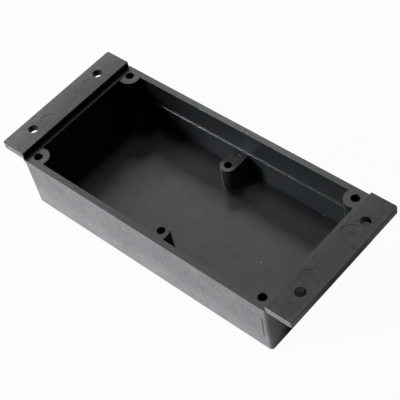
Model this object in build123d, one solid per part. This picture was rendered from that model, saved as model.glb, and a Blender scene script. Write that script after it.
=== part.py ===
"""Flanged project box base: one injection moulding in ABS, an open tray with two fixing flanges.

Frame: X along the length, Y across, +Z out of the open mouth.  The origin is on the resting face,
under the middle of the box.  Everything is in millimetres and degrees.

How the mould makes it: the outside is one drafted cavity, the inside one drafted core, and the
parting plane runs along the rim.  The flanges stand above the rim by the thickness of a lid, so
that a lid drops in between them and ends flush with their tops.
"""
from build123d import *
import os
from math import radians, tan

# ---- Driving dimensions -----------------------------------------------------------------------
# Body
SEAT_LENGTH = 100.0        # between the two flange steps, where the lid drops in
BODY_WIDTH = 50.0          # over the long walls, at the top
RIM_HEIGHT = 21.0          # resting face to rim
WALL = 2.1                 # wall thickness at the rim
FLOOR = 2.0                # floor thickness
OUTER_DRAFT = 0.75         # degrees, outside faces lean in towards the floor
CORE_DRAFT = 0.5           # degrees, inside faces lean in towards the floor
CORNER_RADIUS = 1.5        # upright outside corners
CORE_CORNER = 0.6          # upright corners of the core, hidden in the corner bosses
BASE_RADIUS = 0.6          # edge round the resting face

# Ledge part way down the inside, where the wall gets a little thicker
LEDGE_DROP = 9.2           # rim to ledge
LEDGE_STEP = 0.3           # how far the wall thickens

# Flanges
LID_RECESS = 2.0           # flange top above the rim
END_OVERLAP = 0.25         # how far a flange reaches in over the end wall
FLANGE_REACH = 9.5         # flange step to its free edge
FLANGE_THICKNESS = 2.5
FLANGE_CORNER = 0.8        # upright corners of the free edge
FLANGE_EDGE = 0.15         # broken top edges
ROOT_RADIUS = 1.5          # under the flange, where it springs from the end wall
FLANGE_HOLE = 3.4
FLANGE_HOLE_OFFSET = 5.0   # flange step to hole centre
FLANGE_HOLE_SPACING = 30.0

# Corner screw bosses, flush with the rim
CORNER_INSET = 3.5         # hole centre from the flange step and from the long wall
CORNER_BOSS = 7.4
CORNER_HOLE = 2.85
CORNER_HOLE_DEPTH = 14.0

# Two lower posts for a circuit board, half way along, each tied to its long wall by a neck
POST_SPACING = 32.0
POST_DROP = 10.0           # rim to post top
POST = 5.6
POST_HOLE = 2.7
POST_HOLE_DEPTH = 7.0

# Witness marks that the mould leaves
PIN_MARK = 5.2             # ejector pins on the flanges
PIN_MARK_OFFSET = 3.6      # flange step to pin centre
PIN_MARK_SPACING = 19.2
NECK_PIN_MARK = 2.4        # ejector pins on the necks of the posts
NECK_PIN_OFFSET = 4.2      # post centre to pin centre, towards the wall
PIN_MARK_DEPTH = 0.12
GATE_WELL = 7.0            # dished well round the gate, under the floor
GATE_WELL_DEPTH = 0.35
GATE_STUB = 1.8            # the gate's cut-off stub, kept below the resting face

# ---- Sizes that follow ------------------------------------------------------------------------
TOP = RIM_HEIGHT + LID_RECESS
FLANGE_UNDERSIDE = TOP - FLANGE_THICKNESS
BODY_LENGTH = SEAT_LENGTH + 2 * END_OVERLAP
OVERALL_LENGTH = SEAT_LENGTH + 2 * FLANGE_REACH
CORNER_X = SEAT_LENGTH / 2 - CORNER_INSET
CORNER_Y = BODY_WIDTH / 2 - CORNER_INSET
POST_Y = POST_SPACING / 2
POST_TOP = RIM_HEIGHT - POST_DROP
LEDGE_HEIGHT = RIM_HEIGHT - LEDGE_DROP
FLANGE_HOLE_X = SEAT_LENGTH / 2 + FLANGE_HOLE_OFFSET
PIN_MARK_X = SEAT_LENGTH / 2 + PIN_MARK_OFFSET
SPARE = 5.0                # extra length on cutting tools, so that they pass right through
ENDS = (-1, 1)             # the minus and the plus side of a mirrored pair
LEVEL_TOLERANCE = 1e-4     # how far off a height an edge may lie and still count as on it


def lean(height, draft):
    """How far a drafted face moves in over a height."""
    return height * tan(radians(draft))


def drafted_block(length, width, corner, top, depth, draft):
    """A block hung from its top outline, narrowing downwards by the draft."""
    with BuildPart() as block:
        with BuildSketch(Plane.XY.offset(top)):
            RectangleRounded(length, width, corner)
        extrude(amount=-depth, taper=draft)
    return block.part


def edges_at_height(solid, height):
    """The edges of a solid that lie level at a height."""
    return solid.edges().filter_by_position(
        Axis.Z, height - LEVEL_TOLERANCE, height + LEVEL_TOLERANCE
    )


def envelope():
    """The space inside the cavity's side faces: body and flanges share its long drafted faces."""
    width = BODY_WIDTH + 2 * lean(LID_RECESS, OUTER_DRAFT)
    return drafted_block(OVERALL_LENGTH, width, FLANGE_CORNER, TOP, TOP, OUTER_DRAFT)


def outer_form():
    """The solid outside shape: body, both flanges and the radius at their root.

    The root radius is run all round the body under a plate wider than the flanges.  The envelope
    then trims the plate to the two flanges, so the radius turns round each corner and runs out on
    the long walls as a cutter leaves it.
    """
    extra = 2 * lean(LID_RECESS, OUTER_DRAFT)
    body = drafted_block(
        BODY_LENGTH + extra, BODY_WIDTH + extra, CORNER_RADIUS, TOP, TOP, OUTER_DRAFT
    )
    body = fillet(edges_at_height(body, 0), BASE_RADIUS)
    margin = 2 * (ROOT_RADIUS + SPARE)
    plate = Pos(0, 0, TOP) * Box(
        OVERALL_LENGTH + margin,
        BODY_WIDTH + margin,
        FLANGE_THICKNESS,
        align=(Align.CENTER, Align.CENTER, Align.MAX),
    )
    form = body + plate
    reach_x = BODY_LENGTH / 2 + ROOT_RADIUS
    reach_y = BODY_WIDTH / 2 + ROOT_RADIUS
    root = [
        edge
        for edge in edges_at_height(form, FLANGE_UNDERSIDE)
        if abs(edge.center().X) < reach_x and abs(edge.center().Y) < reach_y
    ]
    form = fillet(root, ROOT_RADIUS)
    form = (form & envelope()) - lid_seat()
    return fillet(edges_at_height(form, TOP), FLANGE_EDGE)


def lid_seat():
    """The space between the flanges, above the rim, that a lid fills."""
    return Pos(0, 0, RIM_HEIGHT) * Box(
        SEAT_LENGTH,
        BODY_WIDTH + SPARE,
        LID_RECESS + SPARE,
        align=(Align.CENTER, Align.CENTER, Align.MIN),
    )


def core():
    """What the mould's core leaves empty: a wide upper stage, then a narrower one to the floor.

    The core's end is ground flat, so floor and walls meet in a sharp corner.
    """
    length = BODY_LENGTH - 2 * WALL
    width = BODY_WIDTH - 2 * WALL
    upper = drafted_block(length, width, CORE_CORNER, RIM_HEIGHT, LEDGE_DROP, CORE_DRAFT)
    shrink = 2 * (lean(LEDGE_DROP, CORE_DRAFT) + LEDGE_STEP)
    lower = drafted_block(
        length - shrink,
        width - shrink,
        CORE_CORNER,
        LEDGE_HEIGHT,
        LEDGE_HEIGHT - FLOOR,
        CORE_DRAFT,
    )
    return upper + lower


def drafted_post(diameter, top):
    """A round post from the floor to its top, drafted so that it draws off the core."""
    foot = diameter / 2 + lean(top, CORE_DRAFT)
    return Cone(foot, diameter / 2, top, align=(Align.CENTER, Align.CENTER, Align.MIN))


def corner_bosses():
    """Four screw bosses that grow out of the corners."""
    posts = Part()
    for side_x in ENDS:
        for side_y in ENDS:
            posts += Pos(side_x * CORNER_X, side_y * CORNER_Y, 0) * drafted_post(
                CORNER_BOSS, RIM_HEIGHT
            )
    return posts


def board_posts():
    """Two posts with straight-sided necks that run back into the long walls."""
    posts = Part()
    run = BODY_WIDTH / 2 - WALL / 2 - POST_Y
    for side in ENDS:
        with BuildPart() as post:
            with BuildSketch(Plane.XY.offset(POST_TOP)):
                with Locations((0, side * POST_Y)):
                    Circle(POST / 2)
                with Locations((0, side * (POST_Y + run / 2))):
                    Rectangle(POST, run)
            extrude(amount=-POST_TOP, taper=-CORE_DRAFT)
        posts += post.part
    return posts


def blind_hole(diameter, depth, mouth):
    """A cutter for a blind pilot hole whose mouth is at a height."""
    return Pos(0, 0, mouth) * Cylinder(
        diameter / 2, depth, align=(Align.CENTER, Align.CENTER, Align.MAX)
    )


def screw_holes():
    """Cutters for the pilot holes in the bosses and posts, and the through holes in the flanges."""
    cutters = []
    through = FLANGE_THICKNESS + ROOT_RADIUS + SPARE
    for side_y in ENDS:
        cutters.append(
            Pos(0, side_y * POST_Y, 0) * blind_hole(POST_HOLE, POST_HOLE_DEPTH, POST_TOP)
        )
        for side_x in ENDS:
            corner = Pos(side_x * CORNER_X, side_y * CORNER_Y, 0)
            cutters.append(corner * blind_hole(CORNER_HOLE, CORNER_HOLE_DEPTH, RIM_HEIGHT))
            fixing = Pos(side_x * FLANGE_HOLE_X, side_y * FLANGE_HOLE_SPACING / 2, 0)
            cutters.append(fixing * blind_hole(FLANGE_HOLE, through, TOP))
    return cutters


def witness_marks():
    """Cutters for the shallow round marks of the ejector pins, and for the well at the gate."""
    cutters = []
    for side_y in ENDS:
        neck_y = side_y * (POST_Y + NECK_PIN_OFFSET)
        cutters.append(Pos(0, neck_y, 0) * blind_hole(NECK_PIN_MARK, PIN_MARK_DEPTH, POST_TOP))
        for side_x in ENDS:
            spot = Pos(side_x * PIN_MARK_X, side_y * PIN_MARK_SPACING / 2, 0)
            cutters.append(spot * blind_hole(PIN_MARK, PIN_MARK_DEPTH, TOP))
    well = Cone(
        GATE_WELL / 2,
        GATE_WELL / 2 - GATE_WELL_DEPTH,
        GATE_WELL_DEPTH,
        align=(Align.CENTER, Align.CENTER, Align.MIN),
    )
    stub = Cylinder(
        GATE_STUB / 2, GATE_WELL_DEPTH / 2, align=(Align.CENTER, Align.CENTER, Align.MAX)
    )
    cutters.append(well - Pos(0, 0, GATE_WELL_DEPTH) * stub)
    return cutters


def housing():
    """The whole moulding."""
    shell = outer_form()
    bosses = (corner_bosses() + board_posts()) & shell
    moulding = (shell - core()) + bosses
    for cutter in screw_holes() + witness_marks():
        moulding -= cutter
    return moulding


os.makedirs("parts", exist_ok=True)
part = housing()
part.label = "housing"
export_step(part, "parts/housing.step")
size = part.bounding_box().size
print(f"housing: {size.X:.2f} x {size.Y:.2f} x {size.Z:.2f} mm, {part.volume / 1000:.2f} cm3")
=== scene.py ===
# %% [markdown]
# # A flanged project box base
#
# The piece on the bench is the bottom half of a small project box: an open black tray, moulded in
# one shot of ABS, with a fixing flange at each end. This lesson builds it as the toolmaker would
# cut it: an outside form, then the spaces that the lid, the core and the pins leave in it.
#
# The imported model comes in first. It is the frame that everything here has to fit.

# %% Load the frame
from math import acos, asin, cos, pi, radians, sin, tan

import bmesh
import bpy
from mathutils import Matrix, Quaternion, Vector


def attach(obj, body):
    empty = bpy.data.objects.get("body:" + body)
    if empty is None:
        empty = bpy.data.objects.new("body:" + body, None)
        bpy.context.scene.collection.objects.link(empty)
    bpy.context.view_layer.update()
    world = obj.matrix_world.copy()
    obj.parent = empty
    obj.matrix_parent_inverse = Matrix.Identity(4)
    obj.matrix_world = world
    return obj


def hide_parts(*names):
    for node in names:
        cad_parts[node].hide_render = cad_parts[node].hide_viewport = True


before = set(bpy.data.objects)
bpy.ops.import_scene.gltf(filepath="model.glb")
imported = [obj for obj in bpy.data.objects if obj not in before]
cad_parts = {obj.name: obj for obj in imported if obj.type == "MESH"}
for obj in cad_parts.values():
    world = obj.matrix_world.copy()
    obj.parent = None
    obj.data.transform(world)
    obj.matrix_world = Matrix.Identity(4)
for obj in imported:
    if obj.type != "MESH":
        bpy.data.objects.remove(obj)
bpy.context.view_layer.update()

# %% [markdown]
# ## The camera
#
# A camera is easiest to place the way a person holds one: a spot to aim at, a distance, how far
# round and how high to stand, and how far the hands are tipped. `to_track_quat` turns the camera
# to look back along that line, and the tip is one more turn about the line itself.

# %% Place the camera
MM = 0.001
AIM = Vector((2.317, -0.266, 11.5)) * MM
DISTANCE = 366.66 * MM
ROUND, HEIGHT, TIP = radians(51.6912), radians(49.7098), radians(-13.38)
FOCAL_LENGTH, SENSOR_WIDTH = 106.126, 36
NEAREST = 0.01

towards_camera = Vector((sin(ROUND) * cos(HEIGHT), -cos(ROUND) * cos(HEIGHT), sin(HEIGHT)))
lens = bpy.data.cameras.new("bench_camera")
lens.lens = FOCAL_LENGTH
lens.sensor_width = SENSOR_WIDTH
lens.clip_start = NEAREST
camera = bpy.data.objects.new("bench_camera", lens)
camera.location = AIM + towards_camera * DISTANCE
camera.rotation_mode = "QUATERNION"
level = towards_camera.to_track_quat("Z", "Y")
camera.rotation_quaternion = level @ Quaternion((0, 0, 1), TIP)
bpy.context.scene.collection.objects.link(camera)
bpy.context.scene.camera = camera
bpy.context.scene.view_settings.view_transform = "Standard"
print("camera at, mm:", [round(value / MM, 1) for value in camera.location])

# %% [markdown]
# ## Node trees as sums
#
# Materials and Geometry Nodes are both trees of nodes. Wiring them by hand hides the idea, so one
# small class wraps a socket and lets Python's own operators add the Math nodes. `1 - mask` then
# reads like the sum that it is.

# %% A class for values on a wire
class Wire:
    """A socket's value. An operator on it adds a Math node."""

    def __init__(self, bench, socket):
        self.bench = bench
        self.socket = socket

    def __add__(self, other):
        return self.bench.maths("ADD", self, other)

    def __radd__(self, other):
        return self.bench.maths("ADD", other, self)

    def __sub__(self, other):
        return self.bench.maths("SUBTRACT", self, other)

    def __rsub__(self, other):
        return self.bench.maths("SUBTRACT", other, self)

    def __mul__(self, other):
        return self.bench.maths("MULTIPLY", self, other)

    def __rmul__(self, other):
        return self.bench.maths("MULTIPLY", other, self)

    def __truediv__(self, other):
        return self.bench.maths("DIVIDE", self, other)

    def __rtruediv__(self, other):
        return self.bench.maths("DIVIDE", other, self)

    def __abs__(self):
        return self.bench.maths("ABSOLUTE", self)


print("wires ready")

# %% [markdown]
# A second class adds any other node: its settings first, because they decide which sockets it has,
# and then the values or links.

# %% A class for the tree they run in
class Bench:
    """A node tree under construction."""

    def __init__(self, tree):
        self.tree = tree
        tree.nodes.clear()

    def add(self, kind, settings=None, sockets=None, out=0):
        """One node: its settings first, then its sockets, by name or number."""
        node = self.tree.nodes.new(kind)
        for name, value in (settings or {}).items():
            setattr(node, name, value)
        for name, value in (sockets or {}).items():
            if isinstance(value, Wire):
                self.tree.links.new(value.socket, node.inputs[name])
            else:
                node.inputs[name].default_value = value
        return Wire(self, node.outputs[out]) if node.outputs else node

    def maths(self, operation, *values):
        return self.add("ShaderNodeMath", {"operation": operation}, dict(enumerate(values)))


print("bench ready")

# %% [markdown]
# ## The floor and the room
#
# A black glossy thing shows what it reflects more than its own colour, so the room matters as much
# as the plastic. A backdrop could be lit until it is white, but that light would fall on the piece
# too. Here the Light Path node tells the rays apart. A ray that comes straight from the camera
# finds a white room. Glossy and soft rays find a nearly dark one, so the black stays black. The
# floor glows white to the camera in the same way, and the small share of paint that is left in it
# keeps the piece's shadow.

# %% The room
ROOM_SEEN = 1.0
ROOM_MIRRORED = 0.04
ROOM_SOFT = 0.04
WHITE = (1, 1, 1, 1)

room = bpy.data.worlds.new("white_room")
room.use_nodes = True
bpy.context.scene.world = room
bench = Bench(room.node_tree)
seen = bench.add("ShaderNodeLightPath", out="Is Camera Ray")
mirrored = bench.add("ShaderNodeLightPath", out="Is Glossy Ray")
through = bench.add("ShaderNodeLightPath", out="Is Transmission Ray")
level_of_light = (
    seen * ROOM_SEEN
    + mirrored * ROOM_MIRRORED
    + through * ROOM_SEEN
    + (1 - seen - mirrored - through) * ROOM_SOFT
)
glow = bench.add("ShaderNodeBackground", sockets={"Color": WHITE, "Strength": level_of_light})
bench.add("ShaderNodeOutputWorld", sockets={"Surface": glow})
print("room: seen", ROOM_SEEN, "mirrored", ROOM_MIRRORED, "soft", ROOM_SOFT)

# %% [markdown]
# The floor is one big square.

# %% The floor
FLOOR_SIZE = 4.0
FLOOR_GLOW = 0.96
FLOOR_PAINT = (0.86, 0.86, 0.86, 1)

table = bpy.data.materials.new("white_table")
table.use_nodes = True
bench = Bench(table.node_tree)
paint = bench.add("ShaderNodeBsdfDiffuse", sockets={"Color": FLOOR_PAINT})
white = bench.add("ShaderNodeEmission", sockets={"Color": WHITE, "Strength": 1.0})
straight = bench.add("ShaderNodeLightPath", out="Is Camera Ray")
surface = bench.add("ShaderNodeMixShader", sockets={0: straight * FLOOR_GLOW, 1: paint, 2: white})
bench.add("ShaderNodeOutputMaterial", sockets={"Surface": surface})

half = FLOOR_SIZE / 2
floor_mesh = bpy.data.meshes.new("floor")
floor_mesh.from_pydata(
    [(-half, -half, 0), (half, -half, 0), (half, half, 0), (-half, half, 0)], [], [(0, 1, 2, 3)])
floor_mesh.materials.append(table)
floor = bpy.data.objects.new("floor", floor_mesh)
bpy.context.scene.collection.objects.link(floor)
print("floor", FLOOR_SIZE, "m wide")

# %% [markdown]
# ## The lamps
#
# One big soft panel would do, but then every level face gets the same sheen. Here four panels stand
# together across from the camera, like the panes of a window, and the level faces mirror them to
# it. A fifth panel stands low on the camera's left and lights the front wall, which the window
# doesn't reach. It is small and bright. From the opposite side, where the level faces mirror it,
# the rim and a flange top shine plain white.
#
# Bearing is measured anticlockwise from plus X, and climb upwards from the floor, both in degrees.
# A radiance of 1 is as bright as white.

# %% The lamps
def panel(name, radiance, width, height, bearing, climb, distance, colour=(1, 1, 1)):
    """A glowing rectangle that faces the piece, with its sizes in metres."""
    turn, rise = radians(bearing), radians(climb)
    away = Vector((cos(turn) * cos(rise), sin(turn) * cos(rise), sin(rise)))
    lamp = bpy.data.lights.new(name, "AREA")
    lamp.shape = "RECTANGLE"
    lamp.size = width
    lamp.size_y = height
    lamp.energy = radiance * pi * width * height
    lamp.color = colour
    holder = bpy.data.objects.new(name, lamp)
    holder.location = away * distance
    holder.rotation_mode = "QUATERNION"
    holder.rotation_quaternion = away.to_track_quat("Z", "Y")
    holder.visible_camera = False
    bpy.context.scene.collection.objects.link(holder)
    print(f"{name}: {lamp.energy:.1f} W")


PANE = 0.27
AWAY = 1.2
KEY = 0.2
KEY_COLOUR = (0.96, 1.0, 1.03)

panel("window_low", radiance=3.7, width=0.37, height=PANE, bearing=150, climb=29, distance=AWAY)
panel("window_left", radiance=7.0, width=0.31, height=PANE, bearing=170, climb=42, distance=AWAY)
panel("window_right", radiance=3.45, width=0.31, height=PANE, bearing=130, climb=42, distance=AWAY)
panel("window_high", radiance=5.6, width=0.17, height=PANE, bearing=150, climb=68, distance=AWAY)
panel("low_key", radiance=67.0, width=KEY, height=KEY, bearing=231, climb=20.5, distance=1.0,
      colour=KEY_COLOUR)

# %% [markdown]
# ## Sizes
#
# These are the moulding's own sizes, in millimetres. Every face that the mould slides off is a
# little out of upright, so that the part lets go: that is the draft. Lengths and widths are given
# at the height of the rim. The draft makes the flanges longer above it, so a reach of 9.475 at the
# rim comes to an overall length of 119 near the top.

# %% Sizes of the moulding
SEAT_LENGTH, WIDTH, RIM = 100.0, 50.0, 21.0
LID_RECESS, FLANGE_THICKNESS, FLANGE_REACH, END_OVERLAP = 2.0, 2.5, 9.475, 0.25
TOP = RIM + LID_RECESS
UNDERSIDE = TOP - FLANGE_THICKNESS
BODY_LENGTH = SEAT_LENGTH + 2 * END_OVERLAP
OVERALL = SEAT_LENGTH + 2 * FLANGE_REACH
WALL, FLOOR_THICKNESS = 2.1, 2.0
OUTER_DRAFT, CORE_DRAFT = radians(0.75), radians(0.5)
CORNER, FLANGE_CORNER = 1.5, 0.8
BASE_ROUND, ROOT_ROUND, TOP_ROUND = 0.6, 1.5, 0.15
RIM_ROUND = 0.01
LEDGE_DROP, LEDGE_STEP, LEDGE_ROUND = 9.2, 0.3, 0.14
CORNER_INSET, BOSS_RADIUS = 3.5, 3.7
BOSS_X, BOSS_Y = SEAT_LENGTH / 2 - CORNER_INSET, WIDTH / 2 - CORNER_INSET
POST_Y, POST_DROP, POST_RADIUS = 16.0, 10.0, 2.8
POST_TOP = RIM - POST_DROP
FIXING_X, FIXING_Y, FIXING_RADIUS = SEAT_LENGTH / 2 + 5.0, 15.0, 1.7
PIN_X, PIN_Y, PIN_RADIUS = SEAT_LENGTH / 2 + 3.6, 9.6, 2.6
NECK_PIN_Y = POST_Y + 4.2
SPARE = 2
print("overall at the height of the rim, mm:", OVERALL, WIDTH, "and", TOP, "high")

# %% [markdown]
# ## A skin of rings
#
# Blender's own primitives have no draft and no blended edges, so the moulding's skin is stacked
# from level outlines, like the slices of a contour map. A small class keeps the points in
# millimetres, sews one ring to the next with quads, and hands over a mesh in metres.

# %% A class that sews rings
SAME_PLACE = 0.0002 * MM
CM3_IN_A_M3 = 1e6


class Skin:
    """Points in millimetres and the faces between them."""

    def __init__(self):
        self.points = []
        self.faces = []

    def ring(self, outline, height):
        """Adds one level outline and returns the numbers of its points."""
        first = len(self.points)
        self.points += [(x, y, height) for x, y in outline]
        return list(range(first, len(self.points)))

    def sew(self, lower, upper, gaps=()):
        """Quads between two rings, all the way round, but for the sides that start at a gap."""
        count = len(lower)
        for here in range(count):
            there = (here + 1) % count
            if here not in gaps:
                self.faces.append((lower[here], lower[there], upper[there], upper[here]))

    def thing(self, name):
        """A closed mesh object with its faces outwards."""
        mesh = bpy.data.meshes.new(name)
        mesh.from_pydata([Vector(point) * MM for point in self.points], [], self.faces)
        shape = bmesh.new()
        shape.from_mesh(mesh)
        bmesh.ops.remove_doubles(shape, verts=shape.verts, dist=SAME_PLACE)
        bmesh.ops.recalc_face_normals(shape, faces=shape.faces)
        open_edges = sum(not edge.is_manifold for edge in shape.edges)
        volume = shape.calc_volume() * CM3_IN_A_M3
        shape.to_mesh(mesh)
        shape.free()
        thing = bpy.data.objects.new(name, mesh)
        bpy.context.scene.collection.objects.link(thing)
        print(f"{name}: {len(mesh.polygons)} faces, {open_edges} open edges, {volume:.3f} cm3")
        return thing


def quarter_turns(count, start=0.0, end=pi / 2):
    """Evenly spaced angles, over a quarter turn unless a start and an end are given."""
    return [start + (end - start) * step / count for step in range(count + 1)]


print("skin ready")

# %% [markdown]
# ## The outside form
#
# The cavity side of the mould gives the body and the flanges together. Going up, the outline is a
# rounded rectangle that grows by the draft. Near the top the ends swell out in a quarter round
# into the undersides of the flanges, and because the long faces stay flat, that round runs out on
# them. The long faces and the undersides are single flat faces, so they shade dead flat.

# %% Outline of the outside at a height
CORNER_STEPS, BASE_STEPS, ROOT_STEPS, EDGE_STEPS = 8, 6, 12, 4


def lean(height, draft):
    """How far a drafted face moves in over a height."""
    return height * tan(draft)


def four_corners(quarter):
    """A full anticlockwise outline from the points of its corner in plus X and plus Y."""
    back = quarter[::-1]
    return (
        quarter
        + [(-x, y) for x, y in back]
        + [(-x, -y) for x, y in quarter]
        + [(x, -y) for x, y in back]
    )


def outside(length, height, corner, inset=0.0, swell=0.0):
    """The outline at a height. Swell pushes the ends out but leaves the long faces where they are."""
    grow = lean(height - RIM, OUTER_DRAFT) - inset
    half_x = length / 2 + grow
    half_y = WIDTH / 2 + grow
    radius = corner + lean(height - TOP, OUTER_DRAFT) - inset
    full = radius + swell
    quarter = [
        (half_x - radius + full * cos(turn), half_y - radius + full * sin(turn))
        for turn in quarter_turns(CORNER_STEPS, 0, asin(radius / full))
    ]
    return four_corners(quarter)


print("outside:", len(outside(BODY_LENGTH, RIM, CORNER)), "points in an outline")

# %% [markdown]
# The form could be a box with its edges bevelled, but a bevel doesn't know about the draft. The
# rings do. They go up from the resting face: round the bottom edge, up the wall, out round the
# flange root, and up the flange to its broken top edge.

# %% Rings of the outside form
skin = Skin()
side = CORNER_STEPS + 1
LONG_SIDES = (side - 1, 3 * side - 1)

base_rings = [
    skin.ring(outside(BODY_LENGTH, BASE_ROUND * (1 - cos(turn)), CORNER,
                      inset=BASE_ROUND * (1 - sin(turn))), BASE_ROUND * (1 - cos(turn)))
    for turn in quarter_turns(BASE_STEPS)
]
skin.faces.append(tuple(reversed(base_rings[0])))
for lower, upper in zip(base_rings, base_rings[1:]):
    skin.sew(lower, upper)

body_rings = [base_rings[-1]]
for turn in quarter_turns(ROOT_STEPS):
    height = UNDERSIDE - ROOT_ROUND * (1 - sin(turn))
    body_rings.append(skin.ring(
        outside(BODY_LENGTH, height, CORNER, swell=ROOT_ROUND * (1 - cos(turn))), height))
for lower, upper in zip(body_rings, body_rings[1:]):
    skin.sew(lower, upper, gaps=LONG_SIDES)

flange_rings = [
    skin.ring(outside(OVERALL, height, FLANGE_CORNER), height)
    for height in (UNDERSIDE, TOP - TOP_ROUND)
]
skin.sew(*flange_rings, gaps=LONG_SIDES)
lower = flange_rings[-1]
for turn in quarter_turns(EDGE_STEPS)[1:]:
    height = TOP - TOP_ROUND * (1 - sin(turn))
    upper = skin.ring(
        outside(OVERALL, height, FLANGE_CORNER, inset=TOP_ROUND * (1 - cos(turn))), height)
    skin.sew(lower, upper)
    lower = upper
skin.faces.append(tuple(lower))
print(len(skin.points), "points in", len(skin.points) // (4 * side), "rings")

# %% [markdown]
# The rings left a gap in each long side, from the wall's foot to the flange's top edge, and one at
# the underside of each flange. Each gap gets one flat face with many corners.

# %% Flat faces of the outside form
for left, right in ((side - 1, side), (3 * side - 1, 3 * side)):
    column = body_rings + flange_rings
    skin.faces.append(tuple(
        [ring[left] for ring in reversed(column)] + [ring[right] for ring in column]))

root, free = body_rings[-1], flange_rings[0]
right_end = list(range(3 * side, 4 * side)) + list(range(side))
left_end = list(range(side, 3 * side))
for end in (right_end, left_end):
    skin.faces.append(tuple(
        [root[place] for place in end] + [free[place] for place in reversed(end)]))

outer = skin.thing("outside_form")

# %% [markdown]
# ## The lid's seat
#
# Between the flanges everything above the rim is cleared, so that a lid can drop in. The cutter is
# a long bar whose section is carried from front to back. Its top lips flare over the flange edges,
# and its underside dips at the long faces, which takes the sharpness off the rim.

# %% The bar that clears the seat
def seat_section(bottom):
    """The bar's section in X and Z, anticlockwise, with the flared lips at the top."""
    lip = [
        (SEAT_LENGTH / 2 + TOP_ROUND * (1 - cos(turn)), TOP - TOP_ROUND * (1 - sin(turn)))
        for turn in quarter_turns(EDGE_STEPS)
    ]
    right_half = [(SEAT_LENGTH / 2, bottom)] + lip + [(SEAT_LENGTH / 2 + TOP_ROUND, TOP + SPARE)]
    return right_half + [(-x, z) for x, z in reversed(right_half)]


BAR_OVERHANG = 5
dips = [
    (WIDTH / 2 - RIM_ROUND * (1 - sin(turn)), RIM_ROUND * (1 - cos(turn)))
    for turn in quarter_turns(EDGE_STEPS)
]
dips.append((WIDTH / 2 + BAR_OVERHANG, RIM_ROUND))
stations = [(-y, dip) for y, dip in reversed(dips)] + dips

bar = Skin()
sections = []
for y, dip in stations:
    first = len(bar.points)
    bar.points += [(x, y, z) for x, z in seat_section(RIM - dip)]
    sections.append(list(range(first, len(bar.points))))
for near, far in zip(sections, sections[1:]):
    bar.sew(near, far)
bar.faces += [tuple(sections[0]), tuple(reversed(sections[-1]))]
seat_bar = bar.thing("seat_bar")

# %% [markdown]
# ## Trimming the flanges
#
# The flanges are a hair narrower than the body, which shows as a fine step at each corner. The
# step could be in the rings, but a long face runs from end to end there as one flat face. So four
# small prisms trim the flanges afterwards. Each prism's plan is the flange's end with its rounded
# corner, seen from the waste side. It starts a touch inside the seat, and its rounded corner
# allows for the length that the draft adds above the rim.

# %% Trims for the flange ends
SET_BACK = 0.35
TOUCH = 0.03
TRIM_START = SEAT_LENGTH / 2 - TOUCH
TRIM_FOOT = UNDERSIDE - ROOT_ROUND - 0.1

trims = Skin()
edge_y = WIDTH / 2 - SET_BACK
corner_x, corner_y = OVERALL / 2 - FLANGE_CORNER + TOUCH, edge_y - FLANGE_CORNER
waste_x, waste_y = OVERALL / 2 + SPARE, WIDTH / 2 + SPARE
plan = [(TRIM_START, edge_y)] + [
    (corner_x + FLANGE_CORNER * sin(turn), corner_y + FLANGE_CORNER * cos(turn))
    for turn in quarter_turns(CORNER_STEPS)
] + [(waste_x, corner_y), (waste_x, waste_y), (TRIM_START, waste_y)]
for side_x in (-1, 1):
    for side_y in (-1, 1):
        outline = [(side_x * px, side_y * py) for px, py in plan]
        lower, upper = trims.ring(outline, TRIM_FOOT), trims.ring(outline, TOP + SPARE)
        trims.sew(lower, upper)
        trims.faces += [tuple(lower), tuple(upper)]
flange_trims = trims.thing("flange_trims")

# %% [markdown]
# ## The space inside
#
# The core of the mould fills the inside. Its outline goes round four corner bosses, and below the
# top of the board posts it also goes round those and their necks. The same stack of rings makes
# it: a very fine lip at the rim, a drafted wall down to the ledge, a slightly narrower wall below
# it, and a sharp corner at the floor.

# %% Outline of the inside at a height
BOSS_STEPS, POST_STEPS = 20, 12


def inside(half_x, half_y, boss, post_edge, post=None):
    """The outline inside, anticlockwise. post_edge is where a post's neck meets the long wall."""
    start = -acos((half_x - BOSS_X) / boss)
    end = pi - asin((half_y - BOSS_Y) / boss) - 2 * pi
    arc = [
        (BOSS_X + boss * cos(turn), BOSS_Y + boss * sin(turn))
        for turn in quarter_turns(BOSS_STEPS, start, end)
    ]
    right = arc + [(post_edge, half_y)]
    left = [(-x, y) for x, y in reversed(right)]
    half = right + left
    if post:
        round_post = [
            (post * cos(turn), POST_Y + post * sin(turn))
            for turn in quarter_turns(POST_STEPS, 0, -pi)
        ]
        half = right + round_post + left
    return half + [(-x, -y) for x, y in half]


def core_slice(height, step=0.0, lip=0.0, post_lip=0.0, with_post=False):
    """A slice of the core. Step is how far the wall stands in, lip how far an edge is rounded."""
    wall = lean(height - RIM, CORE_DRAFT) - step + lip
    post = POST_RADIUS + lean(POST_TOP - height, CORE_DRAFT) - post_lip
    return inside(
        BODY_LENGTH / 2 - WALL + wall,
        WIDTH / 2 - WALL + wall,
        BOSS_RADIUS + lean(RIM - height, CORE_DRAFT) - lip,
        post if with_post else POST_RADIUS - RIM_ROUND,
        post if with_post else None,
    )


print("core:", len(core_slice(RIM)), "points in a slice, or with the posts",
      len(core_slice(POST_TOP, with_post=True)))

# %% [markdown]
# The upper stage runs from above the flanges down to the tops of the posts. Part way down, the wall
# steps in to form the ledge. A rounded edge catches light from more sides than a sharp one, so the
# ledge's edge is rounded a little, and its top falls a hair towards that edge.

# %% The upper stage, down to the post tops
core_skin = Skin()
stack = [core_skin.ring(core_slice(RIM, lip=RIM_ROUND), TOP + SPARE)]
for turn in reversed(quarter_turns(EDGE_STEPS)):
    height = RIM - RIM_ROUND * (1 - sin(turn))
    stack.append(core_skin.ring(core_slice(height, lip=RIM_ROUND * (1 - cos(turn))), height))

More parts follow.
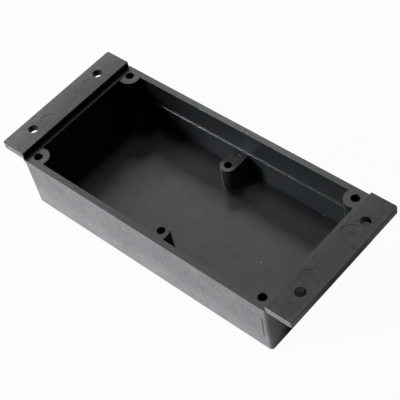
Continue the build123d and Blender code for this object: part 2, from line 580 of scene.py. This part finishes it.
LEDGE = RIM - LEDGE_DROP
LEDGE_FALL = 0.03
stack.append(core_skin.ring(core_slice(LEDGE + LEDGE_FALL), LEDGE + LEDGE_FALL))
for turn in reversed(quarter_turns(EDGE_STEPS)):
    height = LEDGE - LEDGE_ROUND * (1 - sin(turn))
    step = LEDGE_STEP - LEDGE_ROUND * (1 - cos(turn))
    stack.append(core_skin.ring(core_slice(height, step=step), height))

stack.append(core_skin.ring(core_slice(POST_TOP, step=LEDGE_STEP), POST_TOP))
for upper, lower in zip(stack, stack[1:]):
    core_skin.sew(upper, lower)
core_skin.faces.append(tuple(stack[0]))
print(len(stack), "rings above the posts")

# %% [markdown]
# The lower stage starts level with the post tops. There the outline gains the posts, so it has more
# points than the ring above it and can't be sewn to it. Instead the two share their outer points,
# and one flat face covers each post and its neck.

# %% The lower stage, round the posts and down to the floor
around = BOSS_STEPS + 2
level_top = stack[-1]
outline = core_slice(POST_TOP, step=LEDGE_STEP, post_lip=RIM_ROUND, with_post=True)
half_count = len(outline) // 2
ring = []
for first in (0, 1):
    right = level_top[2 * around * first:2 * around * first + around]
    left = level_top[2 * around * first + around:2 * around * (first + 1)]
    post_points = outline[half_count * first + around:half_count * (first + 1) - around]
    post_ring = core_skin.ring(post_points, POST_TOP)
    core_skin.faces.append(tuple([right[-1]] + post_ring + [left[0]]))
    ring += right + post_ring + left

stack = [ring]
for turn in reversed(quarter_turns(EDGE_STEPS)[:-1]):
    height = POST_TOP - RIM_ROUND * (1 - sin(turn))
    stack.append(core_skin.ring(core_slice(
        height, step=LEDGE_STEP, post_lip=RIM_ROUND * (1 - cos(turn)), with_post=True), height))
stack.append(core_skin.ring(
    core_slice(FLOOR_THICKNESS, step=LEDGE_STEP, with_post=True), FLOOR_THICKNESS))
for upper, lower in zip(stack, stack[1:]):
    core_skin.sew(upper, lower)
core_skin.faces.append(tuple(stack[-1]))
core_form = core_skin.thing("core_form")

# %% [markdown]
# ## Holes that repeat
#
# The fixing holes, the screw pilots and the round marks of the ejector pins are one idea with
# different sizes: a round cutter, its mouth flared by a quarter round so that the edge is soft,
# set out on a grid. That is work for Geometry Nodes. The tree bends a plain cylinder into the
# cutter by moving its rings, and a grid of points repeats it.

# %% The cutter tree and its inputs
steel = bpy.data.materials.new("cutter_steel")
ROUNDS, CUTTER_SIDES = 4, 64
MOUTH_CLEAR = 3.0 * MM

cutters = bpy.data.node_groups.new("round_cutters", "GeometryNodeTree")
cutters.interface.new_socket("Geometry", in_out="OUTPUT", socket_type="NodeSocketGeometry")
for name, kind in (
    ("Columns", "NodeSocketInt"), ("Rows", "NodeSocketInt"),
    ("Pitch X", "NodeSocketFloat"), ("Pitch Y", "NodeSocketFloat"),
    ("Mouth", "NodeSocketFloat"), ("Radius", "NodeSocketFloat"),
    ("Depth", "NodeSocketFloat"), ("Flare", "NodeSocketFloat"),
):
    cutters.interface.new_socket(name, in_out="INPUT", socket_type=kind)
bench = Bench(cutters)
entry = cutters.nodes.new("NodeGroupInput")
asked = {socket.name: Wire(bench, socket) for socket in entry.outputs if socket.name}
print("inputs:", list(asked))

# %% [markdown]
# The plain cylinder is as tall as it has segments, so a ring's own height gives its number. The
# lowest ring becomes the foot of the hole and the highest one stands clear of the mouth. The rings
# between them follow the quarter round of the flare.

# %% One cutter, bent from a cylinder
SEGMENTS = ROUNDS + 2
rod = bench.add("GeometryNodeMeshCylinder", sockets={
    "Vertices": CUTTER_SIDES, "Side Segments": SEGMENTS, "Radius": 1.0, "Depth": float(SEGMENTS)},
    out="Mesh")
place = bench.add("GeometryNodeInputPosition")
split = bench.add("ShaderNodeSeparateXYZ", sockets={0: place})
across_x = Wire(bench, split.socket.node.outputs[0])
across_y = Wire(bench, split.socket.node.outputs[1])
ring_number = Wire(bench, split.socket.node.outputs[2]) + SEGMENTS / 2
share = bench.add("ShaderNodeClamp", sockets={0: (ring_number - 1) / ROUNDS, 1: 0.0, 2: 1.0})
swing = share * (pi / 2)
is_foot = bench.maths("LESS_THAN", ring_number, 0.5)
is_head = bench.maths("GREATER_THAN", ring_number, ROUNDS + 1.5)
flare = asked["Flare"]
reach = asked["Radius"] + flare * (1 - bench.maths("COSINE", swing))
rise = (
    flare * (bench.maths("SINE", swing) - 1)
    - is_foot * (asked["Depth"] - flare)
    + is_head * MOUTH_CLEAR
)
moved = bench.add("ShaderNodeCombineXYZ", sockets={0: across_x * reach, 1: across_y * reach, 2: rise})
cutter = bench.add("GeometryNodeSetPosition", sockets={"Geometry": rod, "Position": moved})
print("cutter bent from", SEGMENTS, "segments")

# %% [markdown]
# A grid with two columns and two rows has one point for each hole. It is lifted to the height of
# the mouths, and Instance on Points puts a cutter on every point. Realize Instances turns the
# repeats into real mesh, because a Boolean modifier needs that.

# %% A grid of cutters
grid = bench.add("GeometryNodeMeshGrid", sockets={
    "Vertices X": asked["Columns"], "Vertices Y": asked["Rows"],
    "Size X": asked["Pitch X"], "Size Y": asked["Pitch Y"]}, out="Mesh")
lift = bench.add("ShaderNodeCombineXYZ", sockets={2: asked["Mouth"]})
spots = bench.add("GeometryNodeSetPosition", sockets={"Geometry": grid, "Offset": lift})
repeated = bench.add("GeometryNodeInstanceOnPoints", sockets={"Points": spots, "Instance": cutter})
solid = bench.add("GeometryNodeRealizeInstances", sockets={0: repeated})
dressed = bench.add("GeometryNodeSetMaterial", sockets={"Geometry": solid, "Material": steel})
leave = cutters.nodes.new("NodeGroupOutput")
cutters.links.new(dressed.socket, leave.inputs[0])
print("cutter tree:", len(cutters.nodes), "nodes")

# %% [markdown]
# The tree runs in a modifier on an empty mesh. A modifier's inputs are known by an identifier and
# not by their names, so `set_out` looks each one up. `plain_copy` then reads the result off as an
# ordinary mesh.

# %% Helpers that run the tree
def plain_copy(thing, name):
    """The evaluated object as a plain mesh object. The original goes."""
    seen_by = bpy.context.evaluated_depsgraph_get()
    mesh = bpy.data.meshes.new_from_object(thing.evaluated_get(seen_by))
    mesh.name = name
    bpy.data.objects.remove(thing)
    copy = bpy.data.objects.new(name, mesh)
    bpy.context.scene.collection.objects.link(copy)
    return copy


def set_out(name, **sizes):
    """A mesh of round cutters with these sizes in the tree's inputs."""
    blank = bpy.data.objects.new(name + "_blank", bpy.data.meshes.new(name))
    bpy.context.scene.collection.objects.link(blank)
    modifier = blank.modifiers.new("round_cutters", "NODES")
    modifier.node_group = cutters
    for socket in cutters.interface.items_tree:
        if socket.in_out == "INPUT":
            modifier[socket.identifier] = sizes[socket.name.lower().replace(" ", "_")]
    done = plain_copy(blank, name)
    print(f"{name}: {len(done.data.vertices)} points, "
          f"size {[round(value / MM, 2) for value in done.dimensions]} mm")
    return done


# %% [markdown]
# Now the five sets. The flange holes go right through and the pilots are blind. The round marks are
# about a tenth of a millimetre deep, as an ejector pin can leave them. The cutters in the posts
# stand a hair proud of the post tops.

# %% Holes and pin marks
PROUD = 0.003
hole_cutters = [
    set_out("fixing_holes", columns=2, rows=2, pitch_x=2 * FIXING_X * MM, pitch_y=2 * FIXING_Y * MM,
            mouth=TOP * MM, radius=FIXING_RADIUS * MM, depth=6 * MM, flare=0.05 * MM),
    set_out("lid_screw_pilots", columns=2, rows=2, pitch_x=2 * BOSS_X * MM, pitch_y=2 * BOSS_Y * MM,
            mouth=RIM * MM, radius=1.425 * MM, depth=14 * MM, flare=0.12 * MM),
    set_out("board_screw_pilots", columns=1, rows=2, pitch_x=0.0, pitch_y=2 * POST_Y * MM,
            mouth=(POST_TOP + PROUD) * MM, radius=1.35 * MM, depth=7 * MM, flare=0.12 * MM),
    set_out("flange_pin_marks", columns=2, rows=2, pitch_x=2 * PIN_X * MM, pitch_y=2 * PIN_Y * MM,
            mouth=TOP * MM, radius=PIN_RADIUS * MM, depth=0.09 * MM, flare=0.07 * MM),
    set_out("neck_pin_marks", columns=1, rows=2, pitch_x=0.0, pitch_y=2 * NECK_PIN_Y * MM,
            mouth=(POST_TOP + PROUD) * MM, radius=1.2 * MM, depth=0.14 * MM, flare=0.12 * MM),
]

# %% [markdown]
# ## The well at the gate
#
# Plastic enters a mould through a gate and leaves a stub where it is cut off. The middle of the
# underside is a likely place for it, and a shallow dish round it keeps the stub off the table. The
# dish's cutter could be a cone, but it also has to leave the stub. So it is a few circles sewn
# together, with a hollow in the middle of its end.

# %% Gate well
WELL, WELL_DEPTH, STUB, BELOW = 3.5, 0.35, 0.9, -1.0


def circle(radius, count=CUTTER_SIDES):
    """A level circle of points."""
    return [(radius * cos(2 * pi * step / count), radius * sin(2 * pi * step / count))
            for step in range(count)]


dish = Skin()
profile = [(WELL, BELOW), (WELL, 0.0), (WELL - WELL_DEPTH, WELL_DEPTH), (STUB, WELL_DEPTH),
           (STUB, WELL_DEPTH / 2)]
turned = [dish.ring(circle(radius), height) for radius, height in profile]
for lower, upper in zip(turned, turned[1:]):
    dish.sew(lower, upper)
dish.faces += [tuple(turned[0]), tuple(turned[-1])]
hole_cutters.append(dish.thing("gate_well"))

# %% [markdown]
# ## Cutting the moulding
#
# Boolean modifiers with the exact solver take the cutters away one after another, which is just
# what steel does to the space that the plastic fills. The result is read off as a plain mesh.

# %% Cut
tools = [flange_trims, seat_bar, core_form] + hole_cutters
for tool in tools:
    cut = outer.modifiers.new(tool.name, "BOOLEAN")
    cut.operation = "DIFFERENCE"
    cut.solver = "EXACT"
    cut.object = tool
moulding = plain_copy(outer, "moulded_tray")
for tool in tools:
    bpy.data.objects.remove(tool)
print("moulding:", len(moulding.data.polygons), "faces")

# %% [markdown]
# ## Soft where it is round, crisp where it is sharp
#
# Smooth shading bends light across every edge. Marking the edges that turn sharply keeps those
# crisp, and the Weighted Normal modifier lets each big flat face win over the thin strips beside
# it, so the flat faces stay flat.

# %% Shade
SHARP = radians(34)
SAME_CORNER = 0.0005 * MM
NO_LENGTH = 0.0001 * MM
shape = bmesh.new()
shape.from_mesh(moulding.data)
bmesh.ops.remove_doubles(shape, verts=shape.verts, dist=SAME_CORNER)
bmesh.ops.dissolve_degenerate(shape, edges=shape.edges, dist=NO_LENGTH)
open_edges = 0
for face in shape.faces:
    face.smooth = True
for edge in shape.edges:
    open_edges += not edge.is_manifold
    edge.smooth = edge.is_manifold and edge.calc_face_angle() < SHARP
volume = shape.calc_volume() * CM3_IN_A_M3
shape.to_mesh(moulding.data)
shape.free()
weigh = moulding.modifiers.new("weigh", "WEIGHTED_NORMAL")
weigh.keep_sharp = True
weigh.weight = 50
moulding = plain_copy(moulding, "moulded_tray")
print(f"moulded_tray: {open_edges} open edges, {volume:.3f} cm3")

# %% [markdown]
# ## Two finishes from one mould
#
# The outside walls are a matt grey, and the inside and the flange tops are black with a soft shine.
# One mould can do that: a spark-eroded cavity leaves a fine matt skin, and steel that was stoned
# smooth leaves a shine. Two materials could share the faces out, but they would repeat most of each
# other's nodes. Here each face of the mesh carries a number instead, 1 for the cavity's skin and 0
# for the smooth steel, and one material reads it. The free ends of the flanges get a part of the
# mark, which paints them darker than the walls: that is painted shade.

# %% Mark the faces
LONG_WALL_FROM, END_WALL_FROM, FREE_END_FROM = 24, 49.3, 58.5
HOLES_WITHIN_X, HOLES_WITHIN_Y, HOLES_ABOVE = 58, 17, 20.6
LEVEL_NORMAL, END_NORMAL, INWARD_SHARE = 0.5, 0.8, 0.5
FREE_END_SHADE_SHARE = 0.3

face_finish_and_end_shade = moulding.data.attributes.new("spark_finish", "FLOAT", "FACE")
for face in moulding.data.polygons:
    across, along, up = (abs(face.center.y) / MM, abs(face.center.x) / MM, face.center.z / MM)
    outer_side = across > LONG_WALL_FROM or along > END_WALL_FROM
    sideways = face.normal.z < LEVEL_NORMAL
    towards_middle = face.normal.x * face.center.x < -INWARD_SHARE * abs(face.center.x)
    in_hole = across < HOLES_WITHIN_Y and up > HOLES_ABOVE and along < HOLES_WITHIN_X
    free_end = along > FREE_END_FROM and abs(face.normal.x) > END_NORMAL
    sparked_side = outer_side and sideways and not towards_middle and not in_hole
    # Painted shade: the free ends keep only a part of the mark, which paints them darker than the
    # walls.
    face_finish_and_end_shade.data[face.index].value = sparked_side * (FREE_END_SHADE_SHARE if free_end else 1.0)
marked = sum(mark.value > 0.5 for mark in face_finish_and_end_shade.data)
print(marked, "faces with the full mark,", len(face_finish_and_end_shade.data) - marked, "with a part of it or none")

# %% [markdown]
# ## Places and clouds
#
# Everything on the surface is placed by Object coordinates, turned into millimetres, so that a size
# in the material is the size on the part. Noise with a size in millimetres gives the clouds, and
# a smooth step gives every soft edge. Painted maps would show their pixels from close by, and noise
# never does.

# %% Places on the plastic
plastic = bpy.data.materials.new("black_abs")
plastic.use_nodes = True
bench = Bench(plastic.node_tree)
where = bench.add("ShaderNodeTexCoord", out="Object")
in_mm = bench.add("ShaderNodeVectorMath", {"operation": "SCALE"}, {0: where, "Scale": 1000.0})
split = bench.add("ShaderNodeSeparateXYZ", sockets={0: in_mm})
x, y, z = (Wire(bench, output) for output in split.socket.node.outputs)
# The mark is 1 on the matt walls and a part of 1 on the flange ends, where it paints shade.
sparked_and_end_shade = bench.add("ShaderNodeAttribute", {"attribute_name": "spark_finish"}, out="Fac")
print("places ready, in mm")

# %% [markdown]
# Four helpers do the rest: a soft step, a cloud of noise, a mix of two colours and a round spot.

# %% Helpers for the plastic
def step_up(value, low, high):
    """0 below low, 1 above high and a smooth climb between. Low above high turns it round."""
    return bench.add("ShaderNodeMapRange", {"interpolation_type": "SMOOTHSTEP"},
                     {"Value": value, "From Min": low, "From Max": high}, out="Result")


NOISE_ROUGHNESS, NOISE_GAIN = 0.55, 3.2


def cloud(size, detail=3.0, stretch=(1, 1, 1), shift=0.0):
    """Noise from about -1 to 1 whose blobs are about this many millimetres across."""
    spot = bench.add("ShaderNodeMapping", sockets={
        "Vector": in_mm, "Location": (shift, shift, shift),
        "Scale": tuple(1 / (size * factor) for factor in stretch)})
    noise = bench.add("ShaderNodeTexNoise", sockets={
        "Vector": spot, "Scale": 1.0, "Detail": detail, "Roughness": NOISE_ROUGHNESS},
        out="Fac")
    return (noise - 0.5) * NOISE_GAIN


def blend(amount, first, second):
    """Two colours mixed."""
    return bench.add("ShaderNodeMix", {"data_type": "RGBA"}, {0: amount, 6: first, 7: second}, out=2)


def spot_at(place, radius, soft=0.15):
    """1 within a radius of a place, in millimetres, and 0 outside it."""
    away = bench.add("ShaderNodeVectorMath", {"operation": "DISTANCE"}, {0: in_mm, 1: place},
                     out="Value")
    return step_up(away, radius + soft, radius)


flange_top = step_up(z, TOP - 0.6, TOP - 0.3) * (1 - sparked_and_end_shade)
print("helpers ready")

# %% [markdown]
# ## Tone
#
# Black plastic is seldom one even tone. Regrind in the melt, trapped gas or handling can each leave
# it cloudy. The matt walls show it most, with broad clouds and fine upright streaks. A paler band low
# down on the walls is painted light. Their grey is pale for a black plastic, because a truer black
# comes out too dark under these lamps. The smooth faces get only a faint tint.
#
# Some shade is painted in here, where the lamps alone don't give it: the inside darkens towards its
# left end, and so does the middle of each end under the flange. Painted shade stays on the piece
# under any lamp, so it is a thing to use sparingly.

# %% Colour of the matt walls
CLOUDY, STREAKY, GRAINY, LOW_LIGHT_PAINTED, END_WALL_SHADE = 0.38, 0.09, 0.24, 0.3, 0.75
COOL_GREY, WARM_GREY = (0.278, 0.270, 0.290, 1), (0.296, 0.280, 0.268, 1)

wall_cloud = cloud(7.0, detail=4.0) * 0.5 + cloud(2.2, detail=2.0, shift=3.0) * 0.35
streaks = cloud(1.1, detail=2.0, stretch=(1, 1, 9), shift=7.0)
grain = cloud(0.8, detail=3.0, shift=11.0)
# Painted light: the walls are painted paler low down.
low_painted_light = step_up(z, 12.0, 3.5)
# Painted shade: the middle of each end wall, under the flange, is painted darker.
painted_end_wall_shade = step_up(abs(x), 49.3, 49.8) * step_up(abs(y), 22.5, 16.5)
wall_tone = (
    (1 + wall_cloud * CLOUDY + streaks * STREAKY + grain * GRAINY + low_painted_light * LOW_LIGHT_PAINTED)
    * (1 - painted_end_wall_shade * END_WALL_SHADE)
)
tint = step_up(cloud(5.0, detail=1.0, shift=19.0), -0.6, 0.6)
wall_grey = blend(tint, COOL_GREY, WARM_GREY)
wall_colour = bench.add("ShaderNodeVectorMath", {"operation": "SCALE"},
                        {0: wall_grey, "Scale": wall_tone})
print("wall colour ready")

# %% [markdown]
# The smooth faces have three tones: a black for the inside's left end, which is painted shade, a
# slightly paler one for the rest of it, and one for the flange tops. The mark on each face then
# picks wall or smooth face.

# %% Colour of the smooth faces
COOL_SHADE_BLACK, WARM_SHADE_BLACK = (0.004, 0.005, 0.006, 1), (0.005, 0.005, 0.005, 1)
COOL_SOOT, WARM_SOOT = (0.020, 0.027, 0.031, 1), (0.025, 0.027, 0.026, 1)
FLANGE_BLACK = (0.020, 0.022, 0.016, 1)
SHADE_BLACK_UP_TO, SOOT_FROM = -38.0, -14.0

core_painted_shade = blend(tint, COOL_SHADE_BLACK, WARM_SHADE_BLACK)
core_pale = blend(tint, COOL_SOOT, WARM_SOOT)
# Painted shade: the inside is painted black towards its left end.
core_colour = blend(step_up(x, SHADE_BLACK_UP_TO, SOOT_FROM), core_painted_shade, core_pale)
top_black = blend(flange_top, core_colour, FLANGE_BLACK)
body_colour = blend(sparked_and_end_shade, top_black, wall_colour)
print("body colour ready")

# %% [markdown]
# ## Small marks
#
# What tells a used moulding from a drawing is small: a dark line up the wall by one corner, such as
# a part gets that drags on the mould as it leaves, and a few specks of dust. The outer ends of the
# flange tops are painted paler as well, the left end more than the right. Each could be a decal, but
# a mark this plain is only a product of smooth steps. The walls of the flange holes are painted
# nearly black, which is painted shade again.

# %% Marks
DRAG_BLACK = (0.012, 0.012, 0.012, 1)
PALER_END_GREY = (0.080, 0.080, 0.074, 1)
HOLE_BLACK = (0.001, 0.001, 0.001, 1)
DUST_WHITE = (0.75, 0.75, 0.72, 1)
DRAG_X, DRAG_LEAN = 47.3, 0.065

mirrored_place = bench.add("ShaderNodeCombineXYZ", sockets={0: abs(x), 1: abs(y), 2: 0.0})


def from_axis(px, py):
    """Distance from the four upright lines at plus and minus px and py, in millimetres."""
    return bench.add("ShaderNodeVectorMath", {"operation": "DISTANCE"},
                     {0: mirrored_place, 1: (px, py, 0.0)}, out="Value")


hole_wall = (
    step_up(from_axis(FIXING_X, FIXING_Y), FIXING_RADIUS + 0.08, FIXING_RADIUS + 0.02)
    * step_up(z, TOP - 0.05, TOP - 0.2)
)
front = step_up(y, -24.0, -24.4)
drag = (
    front
    * step_up(abs(x - (DRAG_X + z * DRAG_LEAN)), 0.42, 0.12)
    * step_up(z, 4.5, 8.0) * step_up(z, 17.0, 15.6)
)
marked_colour = blend(drag * 0.85, body_colour, DRAG_BLACK)

# The outer ends of the flange tops are painted paler, the left end more than the right.
paler_end_places = step_up(x, -52.0, -59.0) + step_up(x, 57.0, 59.5) * 0.3
paler_end_mask = flange_top * paler_end_places * step_up(cloud(3.0, shift=23.0), -1.6, 0.4)
paler_end_colour = blend(paler_end_mask * 0.9, marked_colour, PALER_END_GREY)
shaded_colour = blend(hole_wall, paler_end_colour, HOLE_BLACK)

DUST = (((32.5, 22.4, 2.0), 0.16), ((1.1, -24.75, 3.7), 0.2), ((-45.4, 8.3, 2.0), 0.2),
        ((3.0, 23.6, 21.0), 0.16), ((-9.4, -24.8, 7.6), 0.14), ((28.0, -3.0, 2.0), 0.12))
dust = 0.0
for place, radius in DUST:
    dust = spot_at(place, radius) + dust
base_colour = blend(dust * 0.5, shaded_colour, DUST_WHITE)
# What the next line calls rubbed edges are the flange ends painted paler.
print("marks: drag line, rubbed edges and", len(DUST), "specks of dust")

# %% [markdown]
# ## Shine
#
# A coat over the base about doubles the shine of the smooth faces, and the matt walls get little of
# it. How much coat there is drifts in clouds, and a fine grain breaks it up from close by. The
# pins' marks shine a little less than the flange round them. A fine relief of bump roughens the
# skin, but not at the ledge, whose thin highlight would break into beads.

# %% Coat, roughness and relief
COAT, COAT_HAZE, COAT_GRAIN, COAT_ROUGHNESS = 0.9, 0.24, 0.26, 0.28
ROUGHNESS, MATT_EXTRA = 0.33, 0.15
PLASTIC_IOR = 1.5
BUMP_STRENGTH, BUMP_HEIGHT = 0.35, 0.012 * MM

pin_mark = flange_top * step_up(from_axis(PIN_X, PIN_Y), PIN_RADIUS + 0.05, PIN_RADIUS - 0.1)
haze = cloud(9.0, detail=5.0, shift=31.0) + cloud(2.6, detail=3.0, shift=37.0) * 0.5
coat = bench.add("ShaderNodeClamp", sockets={0: (
    (COAT + haze * COAT_HAZE + grain * (COAT_GRAIN + flange_top * 0.4)
     - pin_mark * 0.1 - flange_top * 0.19)
    * (1 - sparked_and_end_shade * 0.75) * (1 - hole_wall * 0.8))})
roughness = ROUGHNESS + sparked_and_end_shade * MATT_EXTRA + haze * 0.015 + pin_mark * 0.02
LEDGE_EDGE = LEDGE - 0.05
off_ledge = step_up(abs(z - LEDGE_EDGE), 0.25, 0.5)
relief = (
    cloud(0.35, detail=2.0, shift=41.0) * (0.35 * off_ledge + sparked_and_end_shade * 0.9)
    + wall_cloud * sparked_and_end_shade * 1.2
)
bump = bench.add("ShaderNodeBump", sockets={
    "Strength": BUMP_STRENGTH, "Distance": BUMP_HEIGHT, "Height": relief})

shell = bench.add("ShaderNodeBsdfPrincipled", sockets={
    "Base Color": base_colour, "Roughness": roughness, "IOR": PLASTIC_IOR, "Normal": bump,
    "Coat Weight": coat, "Coat Roughness": COAT_ROUGHNESS, "Coat IOR": PLASTIC_IOR})
bench.add("ShaderNodeOutputMaterial", sockets={"Surface": shell})
print("black_abs:", len(plastic.node_tree.nodes), "nodes")

# %% [markdown]
# ## Putting it on and tying it down
#
# A mesh holds its materials in slots, and each face says which slot it uses. This moulding has no
# slot yet and all of its faces ask for the first one, so adding the plastic once covers them all.

# %% Put it on
moulding.data.materials.append(plastic)
print("materials on the moulding:", [material.name for material in moulding.data.materials])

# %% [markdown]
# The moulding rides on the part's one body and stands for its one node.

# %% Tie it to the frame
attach(moulding, "root")
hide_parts("housing")
